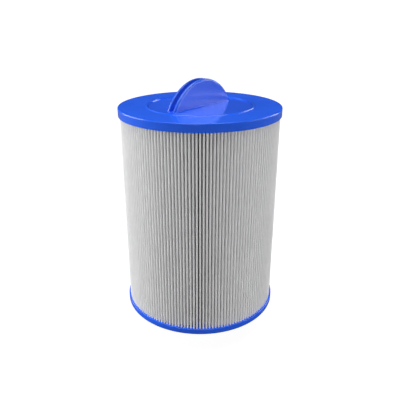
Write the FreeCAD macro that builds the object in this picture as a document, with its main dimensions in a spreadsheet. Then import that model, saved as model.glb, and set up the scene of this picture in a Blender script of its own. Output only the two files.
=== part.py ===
import FreeCAD, Part
import math
import os
import re
import Sketcher

# Pleated filter cartridge with a half-moon grip on its closed end and a threaded outlet below.
#
# The axis of the cartridge is +Z and the origin is the centre of the outlet's lower end, so the part
# stands on z = 0. The grip lies along X, and the seam of the pleated sheet is on the +X side. Every
# piece is a separate object of one document, and its sizes come from the cells of the sheet "Sizes".
# All lengths are in millimetres.

SIZES = {
    # the whole cartridge
    "cap_radius": (76.0, "outside of both end caps"),
    "body_height": (202.0, "underside of the lower cap to the top face of the upper cap"),
    "outlet_length": (28.0, "how far the threaded outlet stands below the lower cap"),
    "top_cap_height": (7.7, "edge height of the upper cap"),
    "bottom_cap_height": (5.5, "edge height of the lower cap"),
    "cap_round": (0.8, "rounding of the caps' outer edges"),
    "cap_lip_round": (0.4, "rounding of the caps' edges next to the pleats"),
    "top_floor": (3.5, "upper cap's face to the ends of the pleats"),
    "bottom_floor": (2.0, "lower cap's face to the ends of the pleats"),
    # the pleated sheet
    "pleat_count": (156.0, "pleats round the core, the seam's pleat included"),
    "pleat_outer": (74.5, "radius over the outer folds"),
    "pleat_inner": (31.2, "radius inside the inner folds"),
    "sheet_gauge": (0.42, "thickness of the spun-bonded sheet"),
    "outer_fold": (0.66, "bend radius of an outer fold, to the middle of the sheet"),
    "inner_fold": (0.34, "bend radius of an inner fold, to the middle of the sheet"),
    "seam_half_angle": (1.6, "half the angle that the seam's pleat takes, in degrees"),
    "seam_depth": (12.0, "radial depth of the adhesive in the seam"),
    # the perforated core
    "core_outer": (31.0, "outside radius of the core"),
    "core_inner": (28.6, "inside radius of the core"),
    "joint_radius": (29.8, "radius of the step where the two core sections meet"),
    "joint_depth": (3.0, "height of that step"),
    "window_columns": (12.0, "windows round the core"),
    "window_rows": (7.0, "rows of windows in a core section"),
    "window_width": (11.4, "width of a window"),
    "window_height": (9.4, "height of a window"),
    "window_pitch": (12.6, "from one row of windows to the next"),
    # the moulded insert with the grip
    "insert_radius": (51.0, "outside radius of the insert's disc, and of the raised lip on its edge"),
    "recess_radius": (48.2, "radius of the flat recess inside the lip"),
    "lip_height": (0.8, "how far the lip stands above the cap's face"),
    "recess_depth": (0.6, "depth of the recess below the cap's face"),
    "spigot_outer": (28.4, "radius of the spigot, and of the outlet's collar, inside the core"),
    "spigot_inner": (26.4, "inside radius of the spigot"),
    "spigot_depth": (8.0, "length of the spigot below its seat on the core"),
    "grip_half": (40.0, "half the grip's length at the cap's face"),
    "grip_height": (24.0, "height of the grip above the cap's face"),
    "grip_gauge": (10.2, "thickness of the grip"),
    "grip_sink": (2.0, "how far below the cap's face the grip starts, inside the disc"),
    "grip_round": (1.8, "rounding of the grip's curved edges"),
    "root_round": (0.8, "rounding between the grip and the recess"),
    "groove_width": (4.4, "width of the groove round the grip's curved edge"),
    "groove_depth": (5.0, "depth of that groove"),
    "groove_round": (0.5, "rounding of that groove's mouth"),
    "cavity_gauge": (4.6, "width of the cavity moulded up into the grip from below"),
    "cavity_half": (24.0, "half that cavity's length"),
    "cavity_border": (8.4, "from the grip's curved edge to that cavity"),
    # the threaded outlet
    "outlet_bore": (19.5, "radius of the water passage"),
    "thread_major": (23.85, "crest radius of the straight pipe thread, size one and a half inch"),
    "thread_pitch": (2.209, "11.5 threads to the inch"),
    "thread_depth": (1.3, "from the crest to the root"),
    "thread_crest": (0.43, "width of the crest"),
    "thread_root": (0.28, "width of the root"),
    "thread_flank": (30.0, "angle of the thread's flanks from square to the axis, in degrees"),
    "thread_length": (19.5, "lower end of the outlet to the relief above the thread"),
    "relief_width": (2.6, "height of the relief between the thread and the shoulder"),
    "relief_depth": (1.4, "depth of that relief below the thread's crest"),
    "thread_clearance": (0.4, "how far the thread's cutter stands outside the crest"),
    "lead_chamfer": (1.2, "chamfer on the lower end of the outlet"),
    "shoulder_radius": (28.0, "radius of the shoulder above the thread"),
    "flange_radius": (38.0, "radius of the flange held in the lower cap"),
    "collar_inner": (26.0, "inside radius of the collar that fits into the core"),
    "collar_height": (8.0, "height of that collar above the flange"),
    "throat_height": (5.0, "from the lower cap's face up to the end of the straight passage"),
    "funnel_height": (4.0, "height of the cone between the passage and the collar"),
}

# Heights that several pieces share, as expressions of the sizes
CAP_BOTTOM = "outlet_length"
CAP_TOP = "(outlet_length + body_height)"
PLEAT_BOTTOM = "(outlet_length + bottom_floor)"
PLEAT_TOP = "(outlet_length + body_height - top_floor)"
CORE_MIDDLE = "(outlet_length + (body_height + bottom_floor - top_floor) / 2)"
# The grip's curved edge is an arc of this radius about this height
GRIP_ARC = "((grip_half ^ 2 + grip_height ^ 2) / (2 * grip_height))"
GRIP_CENTRE = f"({CAP_TOP} + grip_height - {GRIP_ARC})"

doc = FreeCAD.newDocument("FilterCartridge")


# ---------------------------------------------------------------------------------------------
# Sizes and sketches
# ---------------------------------------------------------------------------------------------

def make_sheet():
    """The driving dimensions, one to a row: name, value and what it measures."""
    sheet = doc.addObject("Spreadsheet::Sheet", "Sizes")
    for row, (alias, (value, meaning)) in enumerate(SIZES.items(), start=1):
        sheet.set(f"A{row}", alias)
        sheet.set(f"B{row}", str(value))
        sheet.set(f"C{row}", meaning)
        sheet.setAlias(f"B{row}", alias)
    doc.recompute()
    return sheet


sizes = make_sheet()


def cells(expression):
    """The expression with the sheet's name put before each of its sizes."""
    return re.sub(r"[a-z_]+", lambda word: "Sizes." * (word[0] in SIZES) + word[0], expression)


def size(expression):
    """The present value of an expression of the sizes."""
    value = sizes.evalExpression(cells(expression))
    return float(getattr(value, "Value", value))


def bind(feature, **expressions):
    """Bind properties of a feature to expressions of the sizes."""
    for name, expression in expressions.items():
        feature.setExpression(name, cells(expression))


def new_body(name):
    body = doc.addObject("PartDesign::Body", name)
    body.Label = name
    return body


def origin_feature(body, role):
    """A plane or axis of the body's own origin, such as XY_Plane or Z_Axis."""
    return next(item for item in body.Origin.OriginFeatures if item.Role == role)


def add_sketch(body, name):
    """An empty sketch on the body's own XZ plane."""
    sketch = body.newObject("Sketcher::SketchObject", name)
    sketch.AttachmentSupport = [(origin_feature(body, "XZ_Plane"), "")]
    sketch.MapMode = "FlatFace"
    return sketch


def arc_edge(start, end, radius):
    """The shorter arc of this radius from start to end. It bulges to the left of its chord, or to the
    right if the radius is negative."""
    chord = end - start
    middle = (start + end) / 2
    left = FreeCAD.Vector(-chord.y, chord.x, 0).normalize()
    rise = abs(radius) - math.sqrt(radius ** 2 - (chord.Length / 2) ** 2)
    return Part.Arc(start, middle + left * math.copysign(rise, radius), end)


def pin_point(sketch, point, along, expression):
    """Hold a point, given as an edge's number and which of its ends, at a distance from the sketch's
    origin along X or Y."""
    value = size(expression)
    if abs(value) < 1e-9:
        axis = -2 if along == "X" else -1
        sketch.addConstraint(Sketcher.Constraint("PointOnObject", *point, axis))
        return
    pair = (-1, 1, *point) if value > 0 else (*point, -1, 1)
    index = sketch.addConstraint(Sketcher.Constraint(f"Distance{along}", *pair, abs(value)))
    signed = expression if value > 0 else f"-({expression})"
    sketch.setExpression(f"Constraints[{index}]", cells(signed))


def draw_outline(sketch, corners):
    """Draw a closed outline. A corner is (x, y), or (x, y, radius) where an arc leads to the next
    corner, bulging to the left of its chord, or to the right if the radius starts with a minus."""
    points = [FreeCAD.Vector(size(corner[0]), size(corner[1]), 0) for corner in corners]
    starts = []
    ends = []
    for edge, corner in enumerate(corners):
        start = points[edge]
        end = points[(edge + 1) % len(points)]
        clockwise = len(corner) == 3 and size(corner[2]) > 0
        if len(corner) == 3:
            sketch.addGeometry(arc_edge(start, end, size(corner[2])), False)
        else:
            sketch.addGeometry(Part.LineSegment(start, end), False)
        # a sketch stores every arc anticlockwise, so a clockwise one begins at its far end
        starts.append((edge, 2 if clockwise else 1))
        ends.append((edge, 1 if clockwise else 2))
    for edge, corner in enumerate(corners):
        following = starts[(edge + 1) % len(corners)]
        sketch.addConstraint(Sketcher.Constraint("Coincident", *ends[edge], *following))
        pin_point(sketch, starts[edge], "X", corner[0])
        pin_point(sketch, starts[edge], "Y", corner[1])
        if len(corner) == 3:
            radius = abs(size(corner[2]))
            held = sketch.addConstraint(Sketcher.Constraint("Radius", edge, radius))
            sketch.setExpression(f"Constraints[{held}]", cells(corner[2].lstrip("-")))


def revolve(body, name, corners):
    """Turn a half section, given as radius and height, about the body's Z axis."""
    sketch = add_sketch(body, name + "_section")
    draw_outline(sketch, corners)
    feature = body.newObject("PartDesign::Revolution", name)
    feature.Profile = sketch
    feature.ReferenceAxis = (sketch, ["V_Axis"])
    feature.Angle = 360
    doc.recompute()
    return feature


def settle(feature, grows):
    """Recompute, and stop unless the feature has added material, or removed it if grows is false."""
    doc.recompute()
    change = feature.Shape.Volume - feature.BaseFeature.Shape.Volume
    if change * (1 if grows else -1) < 1e-3:
        raise RuntimeError(f"{feature.Label} changed its base's volume by {change}")


def fillet(body, name, wanted, radius):
    """Round those edges of the body's tip for which wanted(edge) is true."""
    base = body.Tip
    picked = [f"Edge{i}" for i, edge in enumerate(base.Shape.Edges, start=1) if wanted(edge)]
    feature = body.newObject("PartDesign::Fillet", name)
    feature.Base = (base, picked)
    bind(feature, Radius=radius)
    doc.recompute()
    return feature


# ---------------------------------------------------------------------------------------------
# Threaded outlet
# ---------------------------------------------------------------------------------------------

def make_outlet():
    """Nipple, shoulder, flange and core collar in one moulding, with the thread cut into it."""
    body = new_body("threaded_outlet")
    relief = "thread_major - relief_depth"
    relief_top = "thread_length + relief_width"
    collar_top = f"{PLEAT_BOTTOM} + collar_height"
    revolve(body, "outlet_turned", [
        ("outlet_bore", "0"),
        ("thread_major - lead_chamfer", "0"),
        ("thread_major", "lead_chamfer"),
        ("thread_major", "thread_length"),
        (relief, "thread_length"),
        (relief, relief_top),
        ("shoulder_radius", relief_top),
        ("shoulder_radius", CAP_BOTTOM),
        ("flange_radius", CAP_BOTTOM),
        ("flange_radius", PLEAT_BOTTOM),
        ("spigot_outer", PLEAT_BOTTOM),
        ("spigot_outer", collar_top),
        ("collar_inner", collar_top),
        ("collar_inner", f"{CAP_BOTTOM} + throat_height + funnel_height"),
        ("outlet_bore", f"{CAP_BOTTOM} + throat_height"),
    ])

    # The groove's section starts one turn below the outlet and runs out in the relief
    groove = add_sketch(body, "thread_groove")
    root = "thread_major - thread_depth"
    mouth = "thread_major + thread_clearance"
    half_root = "thread_root / 2"
    half_mouth = "((thread_pitch - thread_crest) / 2 + thread_clearance * tan(thread_flank))"
    draw_outline(groove, [
        (root, f"-thread_pitch - {half_root}"),
        (mouth, f"-thread_pitch - {half_mouth}"),
        (mouth, f"-thread_pitch + {half_mouth}"),
        (root, f"-thread_pitch + {half_root}"),
    ])
    thread = body.newObject("PartDesign::SubtractiveHelix", "thread_cut")
    thread.Profile = groove
    thread.ReferenceAxis = (origin_feature(body, "Z_Axis"), [""])
    thread.Mode = "pitch-height-angle"
    bind(thread, Pitch="thread_pitch", Height="thread_length + thread_pitch + relief_width / 2")
    settle(thread, grows=False)
    return body


# ---------------------------------------------------------------------------------------------
# Core
# ---------------------------------------------------------------------------------------------

def make_core_section(name, bottom, top, section):
    """One half of the perforated core. section is its turned outline, and its rows of windows are
    centred between bottom and top."""
    body = new_body(name)
    revolve(body, name + "_tube", section)
    low = f"(({bottom} + {top} - (window_rows - 1) * window_pitch - window_height) / 2)"
    sketch = add_sketch(body, name + "_window")
    draw_outline(sketch, [
        ("-window_width / 2", low),
        ("window_width / 2", low),
        ("window_width / 2", f"{low} + window_height"),
        ("-window_width / 2", f"{low} + window_height"),
    ])
    window = body.newObject("PartDesign::Pocket", name + "_first_window")
    window.Profile = sketch
    window.Type = "Length"
    bind(window, Length="core_outer + core_inner")
    settle(window, grows=False)

    grid = body.newObject("PartDesign::MultiTransform", name + "_windows")
    grid.Originals = [window]
    ring = body.newObject("PartDesign::PolarPattern", name + "_columns")
    ring.Axis = (origin_feature(body, "Z_Axis"), [""])
    ring.Angle = 360
    bind(ring, Occurrences="window_columns")
    stack = body.newObject("PartDesign::LinearPattern", name + "_rows")
    stack.Direction = (origin_feature(body, "Z_Axis"), [""])
    bind(stack, Length="(window_rows - 1) * window_pitch", Occurrences="window_rows")
    grid.Transformations = [ring, stack]
    body.Tip = grid
    settle(grid, grows=False)
    return body


def make_core():
    """Two sections that meet in a step: the lower one's rim fits inside the upper one's skirt."""
    step_top = f"({CORE_MIDDLE} + joint_depth)"
    lower = make_core_section("core_lower", PLEAT_BOTTOM, CORE_MIDDLE, [
        ("core_inner", PLEAT_BOTTOM),
        ("core_outer", PLEAT_BOTTOM),
        ("core_outer", CORE_MIDDLE),
        ("joint_radius", CORE_MIDDLE),
        ("joint_radius", step_top),
        ("core_inner", step_top),
    ])
    upper = make_core_section("core_upper", step_top, PLEAT_TOP, [
        ("joint_radius", CORE_MIDDLE),
        ("core_outer", CORE_MIDDLE),
        ("core_outer", PLEAT_TOP),
        ("core_inner", PLEAT_TOP),
        ("core_inner", step_top),
        ("joint_radius", step_top),
    ])
    return [lower, upper]


# ---------------------------------------------------------------------------------------------
# Insert with the grip
# ---------------------------------------------------------------------------------------------

def on_grip_side(edge):
    """Does this edge lie in one of the grip's two flat sides?"""
    box = edge.BoundBox
    middle = abs(box.YMin + box.YMax) / 2
    return box.YLength < 1e-3 and abs(middle - size("grip_gauge / 2")) < 1e-3


def on_grip_arc(edge):
    return on_grip_side(edge) and edge.BoundBox.ZMax > size(f"{CAP_TOP} + grip_height / 2")


def on_groove_mouth(edge):
    """Is this edge where a side of the groove meets the grip's curved edge?"""
    middle = edge.valueAt((edge.FirstParameter + edge.LastParameter) / 2)
    aside = abs(abs(middle.y) - size("groove_width / 2"))
    reach = math.hypot(middle.x, middle.z - size(GRIP_CENTRE))
    return aside < 1e-3 and abs(reach - size(GRIP_ARC)) < 1e-3


def on_grip_root(edge):
    """Is this edge on the line where the grip meets the recess?"""
    box = edge.BoundBox
    across = max(abs(box.YMin), abs(box.YMax)) < size("grip_gauge / 2") + 1e-3
    floor = size(f"{CAP_TOP} - recess_depth")
    return across and max(abs(box.ZMin - floor), abs(box.ZMax - floor)) < 1e-3


def make_insert():
    """Disc with a raised lip round a flat recess, the spigot below it and the grip across it."""
    body = new_body("grip_insert")
    spigot_end = f"({PLEAT_TOP} - spigot_depth)"
    lip_half = "((insert_radius - recess_radius) / 2)"
    lip_arc = f"(({lip_half} ^ 2 + lip_height ^ 2) / (2 * lip_height))"
    revolve(body, "insert_turned", [
        ("0", PLEAT_TOP),
        ("spigot_inner", PLEAT_TOP),
        ("spigot_inner", spigot_end),
        ("spigot_outer", spigot_end),
        ("spigot_outer", PLEAT_TOP),
        ("insert_radius", PLEAT_TOP),
        ("insert_radius", CAP_TOP, f"-{lip_arc}"),
        ("recess_radius", CAP_TOP),
        ("recess_radius - recess_depth", f"{CAP_TOP} - recess_depth"),
        ("0", f"{CAP_TOP} - recess_depth"),
    ])

    foot = f"({CAP_TOP} - grip_sink)"
    foot_half = f"sqrt({GRIP_ARC} ^ 2 - ({foot} - {GRIP_CENTRE}) ^ 2)"
    outline = add_sketch(body, "grip_outline")
    draw_outline(outline, [(f"-{foot_half}", foot, GRIP_ARC), (foot_half, foot)])
    grip = body.newObject("PartDesign::Pad", "grip")
    grip.Profile = outline
    grip.SideType = "Symmetric"
    bind(grip, Length="grip_gauge")
    settle(grip, grows=True)

    # The groove is cut before any rounding, because the roundings run along its mouth and its ends
    floor = f"({CAP_TOP} - recess_depth)"
    outside = f"({GRIP_ARC} + 2 * root_round)"
    inside = f"({GRIP_ARC} - groove_depth)"
    outside_half = f"sqrt({outside} ^ 2 - ({floor} - {GRIP_CENTRE}) ^ 2)"
    inside_half = f"sqrt({inside} ^ 2 - ({floor} - {GRIP_CENTRE}) ^ 2)"
    ring_outline = add_sketch(body, "groove_outline")
    draw_outline(ring_outline, [
        (f"-{outside_half}", floor, outside),
        (outside_half, floor),
        (inside_half, floor, f"-{inside}"),
        (f"-{inside_half}", floor),
    ])
    groove = body.newObject("PartDesign::Pocket", "groove")
    groove.Profile = ring_outline
    groove.Type = "Length"
    groove.SideType = "Symmetric"
    bind(groove, Length="groove_width")
    settle(groove, grows=False)
    fillet(body, "groove_rounding", on_groove_mouth, "groove_round")
    fillet(body, "grip_rounding", on_grip_arc, "grip_round")
    fillet(body, "root_rounding", on_grip_root, "root_round")

    top = f"({GRIP_CENTRE} + sqrt(({GRIP_ARC} - cavity_border) ^ 2 - cavity_half ^ 2))"
    hollow_outline = add_sketch(body, "cavity_outline")
    draw_outline(hollow_outline, [
        ("-cavity_half", spigot_end),
        ("cavity_half", spigot_end),
        ("cavity_half", top, f"-({GRIP_ARC} - cavity_border)"),
        ("-cavity_half", top),
    ])
    hollow = body.newObject("PartDesign::Pocket", "cavity")
    hollow.Profile = hollow_outline
    hollow.Type = "Length"
    hollow.SideType = "Symmetric"
    bind(hollow, Length="cavity_gauge")
    settle(hollow, grows=False)
    return body


# ---------------------------------------------------------------------------------------------
# Pleated sheet and its seam
# ---------------------------------------------------------------------------------------------

def polar(radius, angle):
    return FreeCAD.Vector(radius * math.cos(angle), radius * math.sin(angle), 0)


def fold_edge(centre, radius, arrive, middle, leave):
    """A fold's arc about its centre, through three directions from it."""
    return Part.Arc(centre + arrive * radius, centre + middle * radius, centre + leave * radius)


def flank_normal(inner, outer, reach, side):
    """Unit normal of the flank that runs between an inner and an outer fold. It touches the two folds
    on opposite sides, reach is the sum of their radii, and side is 1 where the flank passes the inner
    fold on its anticlockwise side, or else -1."""
    across = outer - inner
    angle = math.atan2(across.y, across.x) - side * math.asin(reach / across.Length)
    return FreeCAD.Vector(-math.sin(angle), math.cos(angle), 0) * side


def sheet_side(offset):
    """One face of the folded sheet, as edges from the seam round to the seam again. offset is half
    the sheet's thickness for the face that is outside at the outer folds, or minus that."""
    count = round(size("pleat_count"))
    outer_radius = size("outer_fold")
    inner_radius = size("inner_fold")
    half = size("sheet_gauge / 2")
    outer_centre = size("pleat_outer") - half - outer_radius
    inner_centre = size("pleat_inner") + half + inner_radius
    seam = math.radians(size("seam_half_angle"))
    step = (2 * math.pi - 2 * seam) / (count - 1)
    reach = outer_radius + inner_radius
    inner_radius -= offset
    outer_radius += offset
    end_x = size("pleat_outer")

    edges = []
    last = None
    for index in range(count):
        turn = seam + index * step
        valley = polar(inner_centre, turn)
        before = polar(outer_centre, turn - step / 2)
        after = polar(outer_centre, turn + step / 2)
        arrive = flank_normal(valley, before, reach, -1)
        leave = flank_normal(valley, after, reach, 1)
        if index == 0:
            arrive = FreeCAD.Vector(0, -1, 0)
            last = FreeCAD.Vector(end_x, (valley + arrive * inner_radius).y, 0)
        if index == count - 1:
            leave = FreeCAD.Vector(0, 1, 0)
        edges.append(Part.LineSegment(last, valley + arrive * inner_radius))
        edges.append(fold_edge(valley, inner_radius, arrive, polar(-1, turn), leave))
        last = valley + leave * inner_radius
        if index < count - 1:
            following = polar(inner_centre, turn + step)
            arrive = flank_normal(valley, after, reach, 1) * -1
            leave = flank_normal(following, after, reach, -1) * -1
            edges.append(Part.LineSegment(last, after + arrive * outer_radius))
            edges.append(fold_edge(after, outer_radius, arrive, polar(1, turn + step / 2), leave))
            last = after + leave * outer_radius
    edges.append(Part.LineSegment(last, FreeCAD.Vector(end_x, last.y, 0)))
    return edges


def make_media():
    """The folded sheet: one strip whose two ends stand side by side in the seam's pleat."""
    half = size("sheet_gauge / 2")
    outside = sheet_side(half)
    inside = sheet_side(-half)
    first_end = Part.LineSegment(inside[0].StartPoint, outside[0].StartPoint)
    last_end = Part.LineSegment(outside[-1].EndPoint, inside[-1].EndPoint)
    curves = [first_end, *outside, last_end, *reversed(inside)]
    wire = Part.Wire(Part.__sortEdges__([curve.toShape() for curve in curves]))
    height = size(f"{PLEAT_TOP} - {PLEAT_BOTTOM}")
    media = doc.addObject("Part::Feature", "pleated_media")
    media.Shape = Part.Face(wire).extrude(FreeCAD.Vector(0, 0, height))
    media.Placement = FreeCAD.Placement(
        FreeCAD.Vector(0, 0, size(PLEAT_BOTTOM)), FreeCAD.Rotation())
    return media


def make_seam():
    """The strip of adhesive between the two ends of the sheet."""
    inner_centre = "(pleat_inner + sheet_gauge / 2 + inner_fold)"
    thickness = f"2 * ({inner_centre} * sin(seam_half_angle) - inner_fold - sheet_gauge / 2)"
    seam = doc.addObject("Part::Box", "media_seam")
    bind(seam, Length="seam_depth", Width=thickness, Height=f"{PLEAT_TOP} - {PLEAT_BOTTOM}")
    seam.setExpression("Placement.Base.x", cells("pleat_outer - seam_depth"))
    seam.setExpression("Placement.Base.y", cells(f"-({thickness}) / 2"))
    seam.setExpression("Placement.Base.z", cells(PLEAT_BOTTOM))
    return seam


# ---------------------------------------------------------------------------------------------
# End caps
# ---------------------------------------------------------------------------------------------

def pot(name, casting, media, seam):
    """The cap as it sets round the pleats: its casting less the sheet and the seam."""
    round_sheet = doc.addObject("Part::Cut", name + "_round_sheet")
    round_sheet.Base = casting
    round_sheet.Tool = media
    cap = doc.addObject("Part::Cut", name)
    cap.Base = round_sheet
    cap.Tool = seam
    doc.recompute()
    return cap


def make_bottom_cap(media, seam):
    """Resin from the core to the cap's edge, over and round the outlet's flange."""
    casting = new_body("bottom_cap_casting")
    cap_top = "(outlet_length + bottom_cap_height)"
    revolve(casting, "bottom_cap_turned", [
        ("flange_radius", CAP_BOTTOM),
        ("cap_radius - cap_round", CAP_BOTTOM, "-cap_round"),
        ("cap_radius", f"{CAP_BOTTOM} + cap_round"),
        ("cap_radius", f"{cap_top} - cap_lip_round", "-cap_lip_round"),
        ("cap_radius - cap_lip_round", cap_top),
        ("core_outer", cap_top),
        ("core_outer", PLEAT_BOTTOM),
        ("flange_radius", PLEAT_BOTTOM),
    ])
    return pot("bottom_end_cap", casting, media, seam)


def make_top_cap(media, seam):
    """Resin round the insert's disc and below it, out to the cap's edge."""
    casting = new_body("top_cap_casting")
    cap_low = f"({CAP_TOP} - top_cap_height)"
    revolve(casting, "top_cap_turned", [
        ("core_outer", cap_low),
        ("cap_radius - cap_lip_round", cap_low, "-cap_lip_round"),
        ("cap_radius", f"{cap_low} + cap_lip_round"),
        ("cap_radius", f"{CAP_TOP} - cap_round", "-cap_round"),
        ("cap_radius - cap_round", CAP_TOP),
        ("insert_radius", CAP_TOP),
        ("insert_radius", PLEAT_TOP),
        ("core_outer", PLEAT_TOP),
    ])
    return pot("top_end_cap", casting, media, seam)


# ---------------------------------------------------------------------------------------------
# The cartridge
# ---------------------------------------------------------------------------------------------

def check(pieces):
    """Stop if an object failed, or if a piece is not one valid solid."""
    for item in doc.Objects:
        if "Invalid" in item.State or "Error" in item.State:
            raise RuntimeError(f"{item.Label} is {item.State}")
    for piece in pieces:
        shape = piece.Shape
        if shape.isNull() or not shape.isValid() or len(shape.Solids) != 1:
            raise RuntimeError(f"{piece.Label} is not one valid solid")


def main():
    media = make_media()
    seam = make_seam()
    doc.recompute()
    pieces = [make_outlet(), *make_core(), make_insert(), media, seam]
    pieces.append(make_bottom_cap(media, seam))
    pieces.append(make_top_cap(media, seam))
    doc.recompute()
    check(pieces)
    os.makedirs("parts", exist_ok=True)
    for piece in pieces:
        piece.Shape.exportStep(f"parts/{piece.Label}.step")
        print(f"{piece.Label}: {piece.Shape.Volume / 1000:.2f} cm3, {len(piece.Shape.Faces)} faces")


main()
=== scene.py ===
"""A pleated filter cartridge with blue end caps and a half-moon grip, round its CAD frame."""
import math

import bpy
import numpy as np
from mathutils import Euler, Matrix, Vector


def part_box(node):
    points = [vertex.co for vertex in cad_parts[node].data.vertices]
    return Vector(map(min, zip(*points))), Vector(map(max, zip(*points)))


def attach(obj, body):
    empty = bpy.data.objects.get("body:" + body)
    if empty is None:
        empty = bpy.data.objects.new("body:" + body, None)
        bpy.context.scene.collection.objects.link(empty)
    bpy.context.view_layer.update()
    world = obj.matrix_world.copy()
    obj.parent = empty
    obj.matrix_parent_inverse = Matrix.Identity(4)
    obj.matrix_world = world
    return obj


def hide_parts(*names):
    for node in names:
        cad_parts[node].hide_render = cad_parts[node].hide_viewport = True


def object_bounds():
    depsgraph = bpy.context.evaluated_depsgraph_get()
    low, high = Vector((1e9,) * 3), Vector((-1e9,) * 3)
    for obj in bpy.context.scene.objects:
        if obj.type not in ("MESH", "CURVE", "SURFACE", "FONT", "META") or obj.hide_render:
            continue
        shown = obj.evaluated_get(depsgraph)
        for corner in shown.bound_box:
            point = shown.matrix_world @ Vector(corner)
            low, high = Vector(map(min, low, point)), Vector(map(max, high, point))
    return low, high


MM = 0.001
BODY = "root"

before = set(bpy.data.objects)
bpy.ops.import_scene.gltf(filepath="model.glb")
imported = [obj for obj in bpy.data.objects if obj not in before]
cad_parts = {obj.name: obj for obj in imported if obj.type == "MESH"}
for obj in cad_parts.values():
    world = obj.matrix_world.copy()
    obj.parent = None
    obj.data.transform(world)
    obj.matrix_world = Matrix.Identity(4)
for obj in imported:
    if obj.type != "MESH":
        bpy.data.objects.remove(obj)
cad_low, cad_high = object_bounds()

cap_low, cap_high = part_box("top_end_cap")
ring_low, ring_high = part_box("bottom_end_cap")
sheet_low, sheet_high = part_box("pleated_media")
CAP_RADIUS = cap_high.x
CAP_TOP = cap_high.z
BODY_BOTTOM = ring_low.z


# ------------------------------------------------------------------------------------------
# Node helpers
# ------------------------------------------------------------------------------------------

class Nodes:
    """A material's node tree, with one short call for each kind of node."""

    def __init__(self, name):
        self.material = bpy.data.materials.new(name)
        self.material.use_nodes = True
        self.tree = self.material.node_tree
        self.tree.nodes.clear()
        self.shader = self.add("ShaderNodeBsdfPrincipled")
        self.output = self.add("ShaderNodeOutputMaterial")
        self.link(self.shader.outputs[0], self.output.inputs["Surface"])
        self.place = self.add("ShaderNodeTexCoord").outputs["Object"]

    def add(self, kind, **settings):
        node = self.tree.nodes.new(kind)
        for name, value in settings.items():
            setattr(node, name, value)
        return node

    def link(self, source, target):
        self.tree.links.new(source, target)

    def put(self, target, value):
        """Set a socket to a number or colour, or link it to another socket."""
        if isinstance(value, bpy.types.NodeSocket):
            self.link(value, target)
        else:
            target.default_value = value

    def math(self, operation, a, b=0.0):
        node = self.add("ShaderNodeMath", operation=operation)
        self.put(node.inputs[0], a)
        self.put(node.inputs[1], b)
        return node.outputs[0]

    def noise(self, scale, detail=3.0, roughness=0.5, stretch=(1, 1, 1), distortion=0.0):
        """Noise of about scale features to the metre, drawn out along an axis where stretch is
        under 1."""
        mapping = self.add("ShaderNodeMapping")
        self.link(self.place, mapping.inputs["Vector"])
        mapping.inputs["Scale"].default_value = stretch
        node = self.add("ShaderNodeTexNoise")
        self.link(mapping.outputs[0], node.inputs["Vector"])
        node.inputs["Scale"].default_value = scale
        node.inputs["Detail"].default_value = detail
        node.inputs["Roughness"].default_value = roughness
        node.inputs["Distortion"].default_value = distortion
        return node.outputs["Fac"]

    def span(self, value, low, high, to_low, to_high, smooth=False):
        """Map a value from one range to another, held at the ends."""
        node = self.add("ShaderNodeMapRange")
        if smooth:
            node.interpolation_type = "SMOOTHSTEP"
        self.put(node.inputs["Value"], value)
        node.inputs["From Min"].default_value = low
        node.inputs["From Max"].default_value = high
        node.inputs["To Min"].default_value = to_low
        node.inputs["To Max"].default_value = to_high
        return node.outputs["Result"]

    def blend(self, factor, first, second):
        node = self.add("ShaderNodeMix", data_type="RGBA")
        self.put(node.inputs["Factor"], factor)
        self.put(node.inputs[6], first)
        self.put(node.inputs[7], second)
        return node.outputs[2]

    def bump(self, height, distance, strength=1.0, below=None):
        node = self.add("ShaderNodeBump")
        self.put(node.inputs["Height"], height)
        node.inputs["Distance"].default_value = distance
        node.inputs["Strength"].default_value = strength
        if below is not None:
            self.link(below, node.inputs["Normal"])
        return node.outputs[0]

    def set(self, **values):
        for name, value in values.items():
            self.put(self.shader.inputs[name.replace("_", " ")], value)


def colour(red, green, blue):
    return (red, green, blue, 1.0)


# ------------------------------------------------------------------------------------------
# Materials
# ------------------------------------------------------------------------------------------

def resin_material():
    """Cast polyurethane: glossy, a little cloudy, with a faintly uneven poured face."""
    n = Nodes("cap_resin")
    cloud = n.noise(38, detail=4, roughness=0.6)
    tint = n.span(cloud, 0.3, 0.7, 0.0, 1.0, smooth=True)
    n.set(Base_Color=n.blend(tint, colour(0.016, 0.116, 0.83), colour(0.020, 0.128, 0.88)))
    n.set(Roughness=n.span(n.noise(120, detail=5), 0.3, 0.7, 0.05, 0.09))
    n.set(Normal=n.bump(n.noise(45, detail=2), 0.00004, 0.3))
    n.set(IOR=1.47)
    return n.material


def grip_material():
    """Injection-moulded plastic with a very fine orange peel. The disc is polished, and the grip that
    stands up from it is satin, and its paler, greyer base colour is a painted sheen."""
    n = Nodes("grip_plastic")
    height = n.add("ShaderNodeSeparateXYZ")
    n.link(n.place, height.inputs[0])
    grip_satin_and_sheen = n.span(height.outputs["Z"], CAP_TOP + 0.5 * MM, CAP_TOP + 2 * MM, 0.0, 1.0, smooth=True)
    cloud = n.span(n.noise(25, detail=3), 0.3, 0.7, 0.0, 1.0, smooth=True)
    disc = n.blend(cloud, colour(0.018, 0.108, 0.76), colour(0.021, 0.118, 0.82))
    # painted sheen: the upright grip gets a paler, greyer base colour than the disc of the same plastic
    grip = n.blend(cloud, colour(0.032, 0.122, 0.68), colour(0.037, 0.132, 0.72))
    n.set(Base_Color=n.blend(grip_satin_and_sheen, disc, grip))
    grain = n.span(n.noise(260, detail=4), 0.3, 0.7, 0.06, 0.10)
    n.set(Roughness=n.math("ADD", grain, n.math("MULTIPLY", grip_satin_and_sheen, 0.11)))
    n.set(Normal=n.bump(n.noise(700, detail=2), 0.000003, 0.3))
    n.set(IOR=1.47)
    return n.material


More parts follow.
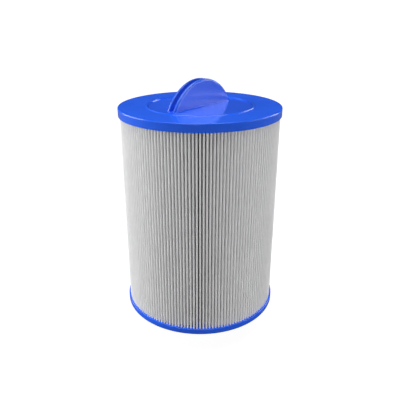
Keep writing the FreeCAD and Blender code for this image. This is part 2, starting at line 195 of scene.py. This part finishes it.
def sheet_material():
    """Spun-bonded polyester: white, matt, with matted fibres and faint clouds of them."""
    n = Nodes("filter_media")
    cloud = n.noise(160, detail=5, roughness=0.65)
    fibre = n.noise(1500, detail=4, roughness=0.7, distortion=1.6)
    fibre_two = n.noise(1300, detail=3, roughness=0.7, stretch=(1, 1, 0.25), distortion=0.8)
    web = n.math("MULTIPLY", fibre, fibre_two)
    light = n.span(n.math("ADD", n.math("MULTIPLY", cloud, 0.6), web), 0.35, 0.85, 0.0, 1.0)
    n.set(Base_Color=n.blend(light, colour(0.80, 0.80, 0.81), colour(0.90, 0.90, 0.90)))
    n.set(Roughness=0.85)
    n.set(Normal=n.bump(web, 0.00008, 0.6))
    n.set(Sheen_Weight=0.15)
    n.set(Sheen_Roughness=0.5)
    return n.material


def core_material():
    n = Nodes("core_plastic")
    cloud = n.span(n.noise(60, detail=3), 0.3, 0.7, 0.0, 1.0)
    n.set(Base_Color=n.blend(cloud, colour(0.74, 0.75, 0.76), colour(0.80, 0.81, 0.82)))
    n.set(Roughness=n.span(n.noise(400, detail=3), 0.3, 0.7, 0.34, 0.46))
    n.set(Normal=n.bump(n.noise(900, detail=2), 0.00002, 0.4))
    return n.material


def seam_material():
    n = Nodes("seam_adhesive")
    cloud = n.span(n.noise(200, detail=3), 0.3, 0.7, 0.0, 1.0)
    n.set(Base_Color=n.blend(cloud, colour(0.62, 0.55, 0.40), colour(0.70, 0.64, 0.50)))
    n.set(Roughness=0.35)
    n.set(Normal=n.bump(n.noise(500, detail=2), 0.0001, 0.5))
    return n.material


def outlet_material():
    n = Nodes("outlet_plastic")
    cloud = n.span(n.noise(30, detail=3), 0.3, 0.7, 0.0, 1.0, smooth=True)
    n.set(Base_Color=n.blend(cloud, colour(0.020, 0.110, 0.78), colour(0.024, 0.120, 0.82)))
    n.set(Roughness=n.span(n.noise(300, detail=4), 0.3, 0.7, 0.24, 0.34))
    n.set(Normal=n.bump(n.noise(800, detail=2), 0.00002, 0.5))
    return n.material


def dress(node, material):
    """Give a CAD node's object its material."""
    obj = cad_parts[node]
    obj.data.materials.clear()
    obj.data.materials.append(material)


# ------------------------------------------------------------------------------------------
# The pleated sheet
# ------------------------------------------------------------------------------------------

PLEATS = 156
GAUGE = 0.42 * MM
OUTER_FOLD = 0.66 * MM
INNER_FOLD = 0.34 * MM
PLEAT_OUTER = sheet_high.x
PLEAT_INNER = 31.2 * MM
SEAM_HALF_ANGLE = math.radians(1.6)
OUTER_STEPS = 8
INNER_STEPS = 4
HEIGHT_ROWS = 22
SHARP_EDGE = 50.0


def polar(radius, angle):
    return np.array([radius * np.cos(angle), radius * np.sin(angle)])


def turned(vector):
    return np.array([-vector[1], vector[0]])


def arc(centre, radius, arrive, leave, through, steps):
    """Points of an arc about its centre, from one direction to another by way of a third."""
    start = math.atan2(arrive[1], arrive[0])
    sweep = (math.atan2(leave[1], leave[0]) - start) % (2 * math.pi)
    passed = (math.atan2(through[1], through[0]) - start) % (2 * math.pi)
    if passed > sweep:
        sweep -= 2 * math.pi
    angles = start + sweep * np.linspace(0, 1, steps + 1)
    return centre + radius * np.stack([np.cos(angles), np.sin(angles)], axis=1)


def flank_normal(inner, outer, reach, side):
    """Unit normal of the flank between an inner and an outer fold, away from the inner fold."""
    across = outer - inner
    length = np.hypot(*across)
    angle = math.atan2(across[1], across[0]) - side * math.asin(reach / length)
    return turned(np.array([math.cos(angle), math.sin(angle)])) * side


def sheet_outline(offset, crests):
    """One face of the folded sheet at one height. crests holds each outer fold's turn and its inward
    shift, and offset is half the sheet's thickness, or minus that for the other face."""
    outer_centre = PLEAT_OUTER - GAUGE / 2 - OUTER_FOLD
    inner_centre = PLEAT_INNER + GAUGE / 2 + INNER_FOLD
    step = (2 * math.pi - 2 * SEAM_HALF_ANGLE) / (PLEATS - 1)
    reach = OUTER_FOLD + INNER_FOLD
    crest_at = [polar(outer_centre - inward, SEAM_HALF_ANGLE + (k + 0.5) * step + turn)
                for k, (turn, inward) in enumerate(crests)]
    points = []
    for k in range(PLEATS):
        turn = SEAM_HALF_ANGLE + k * step
        valley = polar(inner_centre, turn)
        arrive = np.array([0.0, -1.0])
        leave = np.array([0.0, 1.0])
        if k > 0:
            arrive = flank_normal(valley, crest_at[k - 1], reach, -1)
        if k < PLEATS - 1:
            leave = flank_normal(valley, crest_at[k], reach, 1)
        bend = arc(valley, INNER_FOLD - offset, arrive, leave, -valley, INNER_STEPS)
        if k == 0:
            points.append([[PLEAT_OUTER, bend[0][1]]])
        points.append(bend)
        if k < PLEATS - 1:
            crest = crest_at[k]
            following = polar(inner_centre, turn + step)
            arrive = -flank_normal(valley, crest, reach, 1)
            leave = -flank_normal(following, crest, reach, -1)
            points.append(arc(crest, OUTER_FOLD + offset, arrive, leave, crest, OUTER_STEPS))
        else:
            points.append([[PLEAT_OUTER, bend[-1][1]]])
    return np.concatenate([np.asarray(p, float) for p in points])


def wander(rng, heights, held_low, held_high):
    """How each crest wanders at each height: turns and inward shifts, none where the ends are
    potted."""
    count = PLEATS - 1
    index = np.arange(count)
    free = np.clip((heights - held_low) / (held_high - held_low), 0, 1)
    slack = np.sin(np.pi * free) ** 0.7
    turn = np.zeros((len(heights), count))
    # neighbours lean together, in waves of a few dozen pleats
    for waves, reach_mm in ((3, 0.10), (5, 0.10), (8, 0.08), (13, 0.05)):
        phase = rng.uniform(0, 2 * np.pi)
        drift = rng.uniform(-1.2, 1.2)
        mode = rng.uniform(0.6, 1.4)
        along = np.sin(np.pi * mode * free + rng.uniform(0, 1))[:, None]
        turn += reach_mm * along * np.sin(2 * np.pi * waves * index / count + phase
                                         + drift * free[:, None])
    # and each pleat has a little way of its own
    own = rng.normal(0, 0.03, (3, count))
    for mode in range(3):
        turn += own[mode] * np.sin(np.pi * (mode + 1) * free)[:, None]
    inward = np.abs(rng.normal(0, 0.07, count)) * np.ones((len(heights), 1))
    inward += 0.05 * (1 + np.sin(2 * np.pi * (rng.uniform(0.5, 1.5, count) * free[:, None]
                                             + rng.uniform(0, 1, count))))
    slack = slack[:, None]
    return turn * slack * MM / PLEAT_OUTER, inward * slack * MM


def make_sheet(material):
    """The folded polyester sheet, both of its faces and its cut edges."""
    rng = np.random.default_rng(7)
    held_low = ring_high.z
    held_high = cap_low.z
    heights = np.concatenate([[sheet_low.z], np.linspace(held_low, held_high, HEIGHT_ROWS), [sheet_high.z]])
    turns, inwards = wander(rng, heights, held_low, held_high)
    layers = []
    for row, z in enumerate(heights):
        crests = list(zip(turns[row], inwards[row]))
        for offset in (GAUGE / 2, -GAUGE / 2):
            flat = sheet_outline(offset, crests)
            layers.append(np.column_stack([flat, np.full(len(flat), z)]))
    width = len(layers[0])
    vertices = np.concatenate(layers)

    def at(row, face, i):
        return (2 * row + face) * width + i

    faces = []
    top = len(heights) - 1
    for i in range(width - 1):
        for row in range(top):
            faces.append((at(row, 0, i), at(row, 0, i + 1), at(row + 1, 0, i + 1), at(row + 1, 0, i)))
            faces.append((at(row, 1, i), at(row + 1, 1, i), at(row + 1, 1, i + 1), at(row, 1, i + 1)))
        faces.append((at(0, 0, i), at(0, 1, i), at(0, 1, i + 1), at(0, 0, i + 1)))
        faces.append((at(top, 0, i), at(top, 0, i + 1), at(top, 1, i + 1), at(top, 1, i)))
    for row in range(top):
        faces.append((at(row, 0, 0), at(row + 1, 0, 0), at(row + 1, 1, 0), at(row, 1, 0)))
        last = width - 1
        faces.append((at(row, 0, last), at(row, 1, last), at(row + 1, 1, last), at(row + 1, 0, last)))

    mesh = bpy.data.meshes.new("pleated_sheet")
    mesh.from_pydata(vertices.tolist(), [], faces)
    mesh.validate()
    mesh.materials.append(material)
    mesh.shade_smooth()
    mesh.set_sharp_from_angle(angle=math.radians(SHARP_EDGE))
    sheet = bpy.data.objects.new("pleated_sheet", mesh)
    bpy.context.collection.objects.link(sheet)
    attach(sheet, BODY)
    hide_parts("pleated_media")
    middle = sheet_outline(0.0, [(0.0, 0.0)] * (PLEATS - 1))


# ------------------------------------------------------------------------------------------
# Floor, light and camera
# ------------------------------------------------------------------------------------------

ROOM_LIGHT = 0.035
BACKDROP = 1.2
FLOOR_GLOW = 0.95
SUN_STRENGTH = 2.9
SUN_SPREAD = 60.0
SOFTBOX_DISTANCE = 1.6
VIEW_AZIMUTH = -51.0
VIEW_DISTANCE = 5.806 * CAP_RADIUS
VIEW_HEIGHT = 3.797 * CAP_RADIUS
VIEW_PITCH = 22.46
FIELD_OF_VIEW = 45.76


def heading(azimuth):
    """The level direction from the object towards a viewer at this azimuth."""
    turn = math.radians(azimuth)
    return Vector((math.sin(turn), -math.cos(turn), 0))


def make_camera():
    data = bpy.data.cameras.new("camera")
    data.sensor_width = 36
    data.lens = data.sensor_width / 2 / math.tan(math.radians(FIELD_OF_VIEW / 2))
    data.clip_start = 0.01
    data.clip_end = 200
    camera = bpy.data.objects.new("camera", data)
    camera.location = heading(VIEW_AZIMUTH) * VIEW_DISTANCE + Vector((0, 0, BODY_BOTTOM + VIEW_HEIGHT))
    tilt = math.radians(90 - VIEW_PITCH)
    camera.rotation_euler = Euler((tilt, 0, math.radians(VIEW_AZIMUTH)))
    bpy.context.collection.objects.link(camera)
    bpy.context.scene.camera = camera


def make_floor():
    """A pale floor. The camera sees it nearly white, and it lights the object as a pale grey would."""
    mesh = bpy.data.meshes.new("floor")
    reach = 40.0
    mesh.from_pydata([(-reach, -reach, 0), (reach, -reach, 0), (reach, reach, 0), (-reach, reach, 0)],
                     [], [(0, 1, 2, 3)])
    floor = bpy.data.objects.new("floor", mesh)
    n = Nodes("floor")
    n.set(Base_Color=n.blend(n.noise(3), colour(0.11, 0.11, 0.11), colour(0.13, 0.13, 0.13)))
    n.set(Roughness=0.9)
    n.shader.inputs["Specular IOR Level"].default_value = 0.0
    seen = n.add("ShaderNodeLightPath").outputs["Is Camera Ray"]
    glow = n.add("ShaderNodeEmission")
    n.put(glow.inputs["Color"], colour(1, 1, 1))
    n.link(n.math("MULTIPLY", seen, FLOOR_GLOW), glow.inputs["Strength"])
    both = n.add("ShaderNodeAddShader")
    n.link(n.shader.outputs[0], both.inputs[0])
    n.link(glow.outputs[0], both.inputs[1])
    n.link(both.outputs[0], n.output.inputs["Surface"])
    mesh.materials.append(n.material)
    bpy.context.collection.objects.link(floor)


def make_world():
    """White behind the object, and a dim room for its reflections."""
    world = bpy.data.worlds.new("studio")
    world.use_nodes = True
    tree = world.node_tree
    tree.nodes.clear()
    output = tree.nodes.new("ShaderNodeOutputWorld")
    mix = tree.nodes.new("ShaderNodeMixShader")
    path = tree.nodes.new("ShaderNodeLightPath")
    room = tree.nodes.new("ShaderNodeBackground")
    room.inputs["Color"].default_value = colour(1, 1, 1)
    room.inputs["Strength"].default_value = ROOM_LIGHT
    backdrop = tree.nodes.new("ShaderNodeBackground")
    backdrop.inputs["Color"].default_value = colour(1, 1, 1)
    backdrop.inputs["Strength"].default_value = BACKDROP
    tree.links.new(path.outputs["Is Camera Ray"], mix.inputs["Fac"])
    tree.links.new(room.outputs[0], mix.inputs[1])
    tree.links.new(backdrop.outputs[0], mix.inputs[2])
    tree.links.new(mix.outputs[0], output.inputs["Surface"])
    bpy.context.scene.world = world


def add_softbox(name, azimuth, elevation, size, brightness):
    """An area light that faces the middle of the cartridge. Azimuth and elevation are in degrees,
    seen from the object, and azimuth counts from the camera's. brightness is what a mirror would
    show, with white at 1."""
    target = Vector((0, 0, (cad_low.z + cad_high.z) / 2))
    rise = math.radians(elevation)
    way = heading(VIEW_AZIMUTH + azimuth) * math.cos(rise) + Vector((0, 0, math.sin(rise)))
    data = bpy.data.lights.new(name, "AREA")
    data.shape = "RECTANGLE"
    data.size, data.size_y = size
    data.energy = brightness * size[0] * size[1] * math.pi
    light = bpy.data.objects.new(name, data)
    light.location = target + way * SOFTBOX_DISTANCE
    light.rotation_euler = (-way).to_track_quat("-Z", "Y").to_euler()
    bpy.context.collection.objects.link(light)


def make_lights():
    sun = bpy.data.lights.new("overhead", "SUN")
    sun.energy = SUN_STRENGTH
    sun.angle = math.radians(SUN_SPREAD)
    lamp = bpy.data.objects.new("overhead", sun)
    bpy.context.collection.objects.link(lamp)
    add_softbox("front", -15, 4, (1.0, 0.7), 3.1)
    add_softbox("left_front", -68, 8, (1.0, 0.7), 1.15)
    add_softbox("left", -103, 17, (1.4, 0.9), 6.6)
    add_softbox("left_high", -125, 40, (0.6, 0.5), 0.65)
    add_softbox("right", 80, 6, (1.0, 0.7), 5.1)
    add_softbox("right_back", 112, 10, (0.7, 0.5), 4.1)
    add_softbox("right_high", 140, 28, (0.5, 0.8), 3.8)


def make_view_settings():
    scene = bpy.context.scene
    scene.view_settings.view_transform = "Standard"
    scene.view_settings.look = "None"
    scene.view_settings.exposure = 0.0


# ------------------------------------------------------------------------------------------
# The scene
# ------------------------------------------------------------------------------------------

resin = resin_material()
core = core_material()
dress("top_end_cap", resin)
dress("bottom_end_cap", resin)
dress("grip_insert", grip_material())
dress("threaded_outlet", outlet_material())
dress("core_lower", core)
dress("core_upper", core)
dress("media_seam", seam_material())
make_sheet(sheet_material())

make_camera()
make_floor()
make_world()
make_lights()
make_view_settings()
